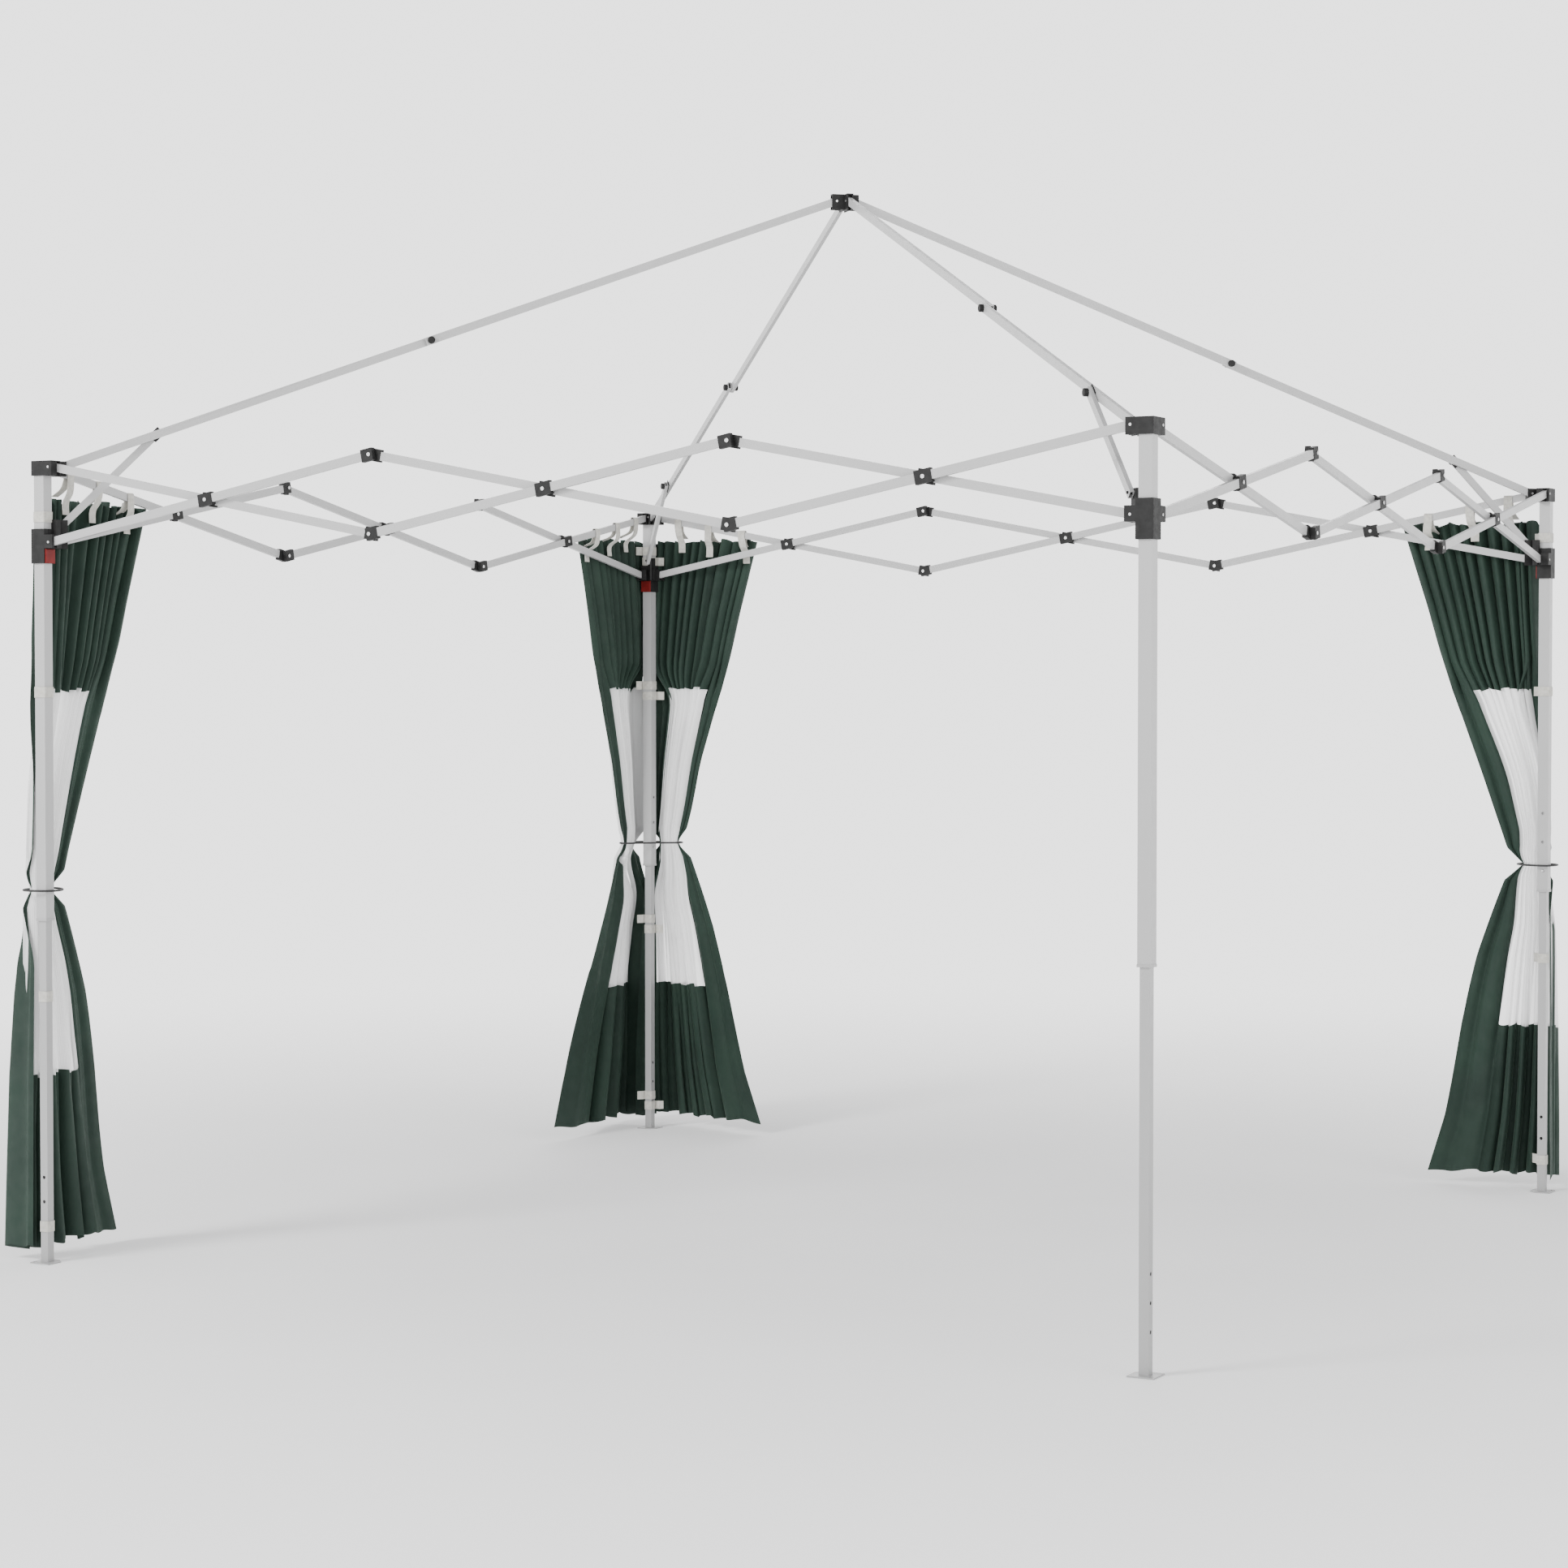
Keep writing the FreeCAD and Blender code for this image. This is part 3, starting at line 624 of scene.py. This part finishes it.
def curtain(corner, side):
    """One gathered panel: a grid of cloth points with its net as a second material."""
    place = SideFrame(corner, side)
    number = PANELS.index((corner, side))
    style = {"seed": 1.7 * number + 0.4, **STYLES[number]}
    heights = rows_of_heights()
    inner_columns = int(PLEATS * (1 - 2 * STRIP) * COLUMNS_PER_PLEAT)
    us = [STRIP * i / STRIP_COLUMNS for i in range(STRIP_COLUMNS)]
    us += [STRIP + (1 - 2 * STRIP) * i / inner_columns for i in range(inner_columns)]
    us += [1 - STRIP + STRIP * i / STRIP_COLUMNS for i in range(STRIP_COLUMNS + 1)]
    vertices, uvs = [], []
    for z in heights:
        for u in us:
            point = curtain_point(u, z, style, place)
            lift = edge_lift(u, style) * (1.0 if z < TOP_Z - 0.001 else 1.2)
            near_end = z > LIFT_TOP_Z or z < LIFT_HEM_Z
            vertices.append(point + Vector((0, 0, z + (lift if near_end else 0.0))))
            uvs.append((u * FLAT_WIDTH, z))
    width = len(us)
    faces, kinds = [], []
    for row in range(len(heights) - 1):
        middle = (heights[row] + heights[row + 1]) / 2
        for column in range(width - 1):
            a = row * width + column
            faces.append((a, a + 1, a + width + 1, a + width))
            u = (us[column] + us[column + 1]) / 2
            net = NET_BOTTOM < middle < NET_TOP and STRIP < u < 1 - STRIP
            kinds.append(int(net))
    name = "curtain_%s_%d" % (corner, side)
    obj = new_object(name, vertices, faces, ["cloth", "net"], uvs)
    for polygon, kind in zip(obj.data.polygons, kinds):
        polygon.material_index = kind
    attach(obj, "leg_" + corner)
    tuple(place.along)
    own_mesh(obj)
    return obj


# Webbing

TAPE_THICKNESS = 0.0014


def ribbon(name, path, width, material, closed=False):
    """A flat tape along path, a list of points; width is the vector across it."""
    count = len(path)
    vertices, uvs = [], []
    run = 0.0
    for i, point in enumerate(path):
        before = path[i - 1] if i or closed else point
        after = path[(i + 1) % count] if i < count - 1 or closed else point
        normal = (after - before).cross(width).normalized() * (TAPE_THICKNESS / 2)
        half = width / 2
        left, right = point - half, point + half
        vertices += [left - normal, right - normal, right + normal, left + normal]
        run += (point - path[i - 1]).length if i else 0.0
        uvs += [(0, run), (width.length, run), (width.length, run), (0, run)]
    faces = []
    for i in range(count if closed else count - 1):
        a, b = 4 * i, 4 * ((i + 1) % count)
        faces += [(a + k, a + (k + 1) % 4, b + (k + 1) % 4, b + k) for k in range(4)]
    if not closed:
        end = 4 * (count - 1)
        faces += [(3, 2, 1, 0), (end, end + 1, end + 2, end + 3)]
    return new_object(name, vertices, faces, [material], uvs, smooth=False)


def smooth_path(points, steps=6):
    """A Catmull-Rom curve through open points."""
    ends = [2 * points[0] - points[1]] + points + [2 * points[-1] - points[-2]]
    path = []
    for a, b, c, d in zip(ends, ends[1:], ends[2:], ends[3:]):
        for i in range(steps):
            t = i / steps
            path.append(0.5 * (2 * b + (c - a) * t + (2 * a - 5 * b + 4 * c - d) * t**2
                               + (3 * b - a - 3 * c + d) * t**3))
    return path + [points[-1]]


HANGER_WIDTH = 0.024
HANGERS = [(0.105, 1.838, 0.004), (0.215, 1.822, -0.006), (0.335, 1.800, 0.008)]
BAR_DROP = math.tan(BAR_SLOPE)


def hanger(corner, side, number, s, stitch_z, lean):
    """A loop of webbing from the curtain's top band over the upper truss bar."""
    place = SideFrame(corner, side)
    outer_layer = CORNERS.index(corner) != side
    layer = LAYER_OFFSET if outer_layer else -LAYER_OFFSET
    bar_z = TOP_PIVOT_Z - (s - PIVOT_OFFSET) * BAR_DROP
    over, under = bar_z + 0.0125, bar_z - 0.010
    points = [
        place.at(s + lean, 0.0205, stitch_z),
        place.at(s + lean * 0.8, 0.0200, stitch_z + 0.03),
        place.at(s + lean * 0.5, layer - 0.002, (stitch_z + under) / 2 + 0.012),
        place.at(s, layer - 0.0068, under),
        place.at(s, layer - 0.0062, over - 0.004),
        place.at(s, layer, over),
        place.at(s, layer + 0.0062, over - 0.004),
        place.at(s, layer + 0.0068, under),
        place.at(s - lean * 0.4, layer + 0.016, (stitch_z + under) / 2 + 0.02),
        place.at(s - lean * 0.6, 0.050, stitch_z + 0.045),
    ]
    path = smooth_path([Vector(p) for p in points])
    name = "hanger_%s_%d_%d" % (corner, side, number)
    obj = ribbon(name, path, place.along * HANGER_WIDTH, "tape")
    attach(obj, "leg_" + corner)
    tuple(place.along)
    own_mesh(obj)


# height of each strap with the half width of the tube that it goes round; two panels share a leg
STRAP_LEVELS = [(1.827, LEG_HALF), (1.400, LEG_HALF), (0.655, INNER_HALF), (0.090, INNER_HALF)]
STRAP_PAIR = 0.0165
STRAP_WIDTH, STRAP_CLEARANCE, STRAP_CORNER_RADIUS = 0.026, 0.0016, 0.0025


def leg_strap(corner, side, number, z, half):
    """A hook-and-loop strap round the leg, with its tail towards the curtain."""
    place = SideFrame(corner, side)
    ring = half + STRAP_CLEARANCE
    soft = STRAP_CORNER_RADIUS
    corners = [(-ring, -ring), (ring, -ring), (ring, ring), (-ring, ring)]
    path = []
    for i, (s, w) in enumerate(corners):
        middle = Vector((s - math.copysign(soft, s), w - math.copysign(soft, w), 0))
        start = math.radians(225 + 90 * i)
        for k in range(4):
            angle = start - math.radians(45) + math.radians(30 * k)
            path.append(middle + Vector((math.cos(angle), math.sin(angle), 0)) * soft)
    points = [place.at(p.x, p.y, z) for p in path]
    up = Vector((0, 0, STRAP_WIDTH))
    name = "leg_strap_%s_%d_%d" % (corner, side, number)
    obj = ribbon(name, points, up, "tape", closed=True)
    tail = [place.at(ring - 0.004, half + 0.0032, z), place.at(ring + 0.008, half + 0.0040, z),
            place.at(ring + 0.022, 0.026, z)]
    flap = ribbon(name + "_tail", smooth_path(tail), up, "tape")
    for piece in (obj, flap):
        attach(piece, "leg_" + corner)


# Ties: a thin cord round the leg and the necks of its curtains

TIE_RADIUS, TIE_SIDES = 0.0027, 8
SINGLE_TIE = [
    (0.094, 0.046), (0.062, 0.070), (0.015, 0.074), (-0.028, 0.050),
    (-0.033, 0.003), (-0.017, -0.031), (0.024, -0.030), (0.066, -0.002),
]
CORNER_TIE = [(0.100, 0.040), (0.080, 0.067), (0.040, 0.070)]
CORNER_TIE_BACK, CORNER_TIE_FRONT = 0.064, 0.019


def tie_points(corner, sides):
    """Control points of the loop round the leg and the neck of one panel or of two."""
    first = SideFrame(corner, sides[0])
    if len(sides) == 1:
        return [first.at(s, w, NECK_Z) for s, w in SINGLE_TIE]
    second = SideFrame(corner, sides[1])
    one = [first.at(s, w, NECK_Z) for s, w in CORNER_TIE]
    two = [second.at(s, w, NECK_Z) for s, w in CORNER_TIE]
    diagonal = first.out + second.out
    back = first.at(0, 0, NECK_Z) + diagonal * CORNER_TIE_BACK
    front = first.at(0, 0, NECK_Z) - diagonal * CORNER_TIE_FRONT
    return one + [back] + two[::-1] + [front]


def loop_through(points):
    """Points read from a closed NURBS spline that has the given control points."""
    curve = bpy.data.curves.new("loop", "CURVE")
    curve.dimensions = "3D"
    spline = curve.splines.new("NURBS")
    spline.points.add(len(points) - 1)
    for control, point in zip(spline.points, points):
        control.co = (*point, 1)
    spline.use_cyclic_u = True
    spline.order_u = 3
    route = bpy.data.objects.new("loop", curve)
    mesh = bpy.data.meshes.new_from_object(route)
    path = [vertex.co.copy() for vertex in mesh.vertices]
    bpy.data.objects.remove(route)
    bpy.data.curves.remove(curve)
    bpy.data.meshes.remove(mesh)
    return path


def tie(corner, sides):
    """A round elastic loop with no free end, as a closed tube."""
    path = loop_through(tie_points(corner, sides))
    count = len(path)
    vertices = []
    for i, point in enumerate(path):
        way = (path[(i + 1) % count] - path[i - 1]).normalized()
        level = way.cross(Vector((0, 0, 1))).normalized()
        rise = level.cross(way)
        for k in range(TIE_SIDES):
            angle = 2 * math.pi * k / TIE_SIDES
            vertices.append(point + (level * math.cos(angle) + rise * math.sin(angle)) * TIE_RADIUS)
    faces = []
    for i in range(count):
        a, b = i * TIE_SIDES, (i + 1) % count * TIE_SIDES
        for k in range(TIE_SIDES):
            n = (k + 1) % TIE_SIDES
            faces.append((a + k, a + n, b + n, b + k))
    obj = new_object("tie_" + corner, vertices, faces, ["cord"])
    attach(obj, "leg_" + corner)
    inward = sum((SideFrame(corner, side).along for side in sides), Vector()).normalized()
    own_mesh(obj)


def add_soft_parts():
    """Every panel with its loops and straps, then one tie for each corner that has panels."""
    sides_of = {}
    for corner, side in PANELS:
        sides_of.setdefault(corner, []).append(side)
    for corner, sides in sides_of.items():
        panels = [curtain(corner, side) for side in sides]
        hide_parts("curtains_" + corner)
        for k, side in enumerate(sides):
            for number, (s, z, lean) in enumerate(HANGERS):
                hanger(corner, side, number, s, z, lean)
            shift = 0.0 if len(sides) == 1 else STRAP_PAIR * (1 - 2 * k)
            for number, (z, half) in enumerate(STRAP_LEVELS):
                leg_strap(corner, side, number, z + shift, half)
        tie(corner, sides)


# Studio


def area_light(name, place, target, size, power):
    data = bpy.data.lights.new(name, "AREA")
    data.shape = "DISK"
    data.size = size
    data.energy = power
    light = bpy.data.objects.new(name, data)
    bpy.context.scene.collection.objects.link(light)
    light.location = place
    light.rotation_euler = (Vector(target) - Vector(place)).to_track_quat("-Z", "Y").to_euler()


HORIZON = 2.6
SKY_LOW, SKY_HIGH = 0.22, 0.55
FLOOR_HALF, FLOOR_DROP = 40, 0.0005
FADE_START, FADE_END = 0.5, 7.5


def add_floor():
    """A pale floor that fades into the horizon's brightness away from the canopy."""
    half = FLOOR_HALF
    corners = [(-half, -half, 0), (half, -half, 0), (half, half, 0), (-half, half, 0)]
    floor = new_object("floor", corners, [(0, 1, 2, 3)], [], smooth=False)
    floor.location.z = -FLOOR_DROP
    n = Nodes("pale_floor")
    n.set(Roughness=0.9)
    n.link(n.ramp(n.noise(1.5), grey(0.90), grey(0.93)), n.shader.inputs["Base Color"])
    distance = n.add("ShaderNodeVectorMath", operation="LENGTH")
    n.link(n.place, distance.inputs[0])
    fade = n.add("ShaderNodeMapRange")
    fade.interpolation_type = "SMOOTHSTEP"
    fade.inputs["From Min"].default_value = FADE_START
    fade.inputs["From Max"].default_value = FADE_END
    n.link(distance.outputs["Value"], fade.inputs["Value"])
    glow = n.add("ShaderNodeEmission")
    glow.inputs["Strength"].default_value = HORIZON
    mix = n.add("ShaderNodeMixShader")
    n.link(fade.outputs["Result"], mix.inputs["Fac"])
    n.link(n.shader.outputs["BSDF"], mix.inputs[1])
    n.link(glow.outputs["Emission"], mix.inputs[2])
    output = [node for node in n.tree.nodes if node.type == "OUTPUT_MATERIAL"][0]
    n.link(mix.outputs["Shader"], output.inputs["Surface"])
    floor.data.materials.append(n.material)
    floor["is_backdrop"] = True


def add_world():
    """Even light from the horizon, darker overhead."""
    world = bpy.data.worlds.new("studio")
    bpy.context.scene.world = world
    world.use_nodes = True
    tree = world.node_tree
    place = tree.nodes.new("ShaderNodeTexCoord").outputs["Generated"]
    split = tree.nodes.new("ShaderNodeSeparateXYZ")
    tree.links.new(place, split.inputs["Vector"])
    ramp = tree.nodes.new("ShaderNodeValToRGB")
    ramp.color_ramp.elements[0].position = SKY_LOW
    ramp.color_ramp.elements[0].color = (1, 1, 1, 1)
    ramp.color_ramp.elements[1].position = SKY_HIGH
    ramp.color_ramp.elements[1].color = (0.22, 0.22, 0.225, 1)
    tree.links.new(split.outputs["Z"], ramp.inputs["Fac"])
    tree.links.new(ramp.outputs["Color"], tree.nodes["Background"].inputs["Color"])
    tree.nodes["Background"].inputs["Strength"].default_value = HORIZON


# name, place from the canopy's centre on the floor, size, power
LIGHTS = [
    ("key", (-3.5, -8.0, 6.0), 3.0, 900),
    ("fill", (7.0, -2.5, 3.5), 4.0, 120),
    ("rim", (-3.0, 6.5, 5.0), 4.0, 160),
]
LIT_HEIGHT = 1.3


def add_lights():
    middle = CENTRE + Vector((0, 0, LIT_HEIGHT))
    for name, place, size, power in LIGHTS:
        area_light(name, CENTRE + Vector(place), middle, size, power)


def write_sizes():
    """Measure the CAD box and the box of the finished object, both in metres, without storing them."""
    boxes = {"cad": CAD_BOX, "visual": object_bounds()}
    sizes = {name: [list(corner) for corner in box] for name, box in boxes.items()}


add_camera()
paint_frame()
add_soft_parts()
add_floor()
add_world()
add_lights()
write_sizes()
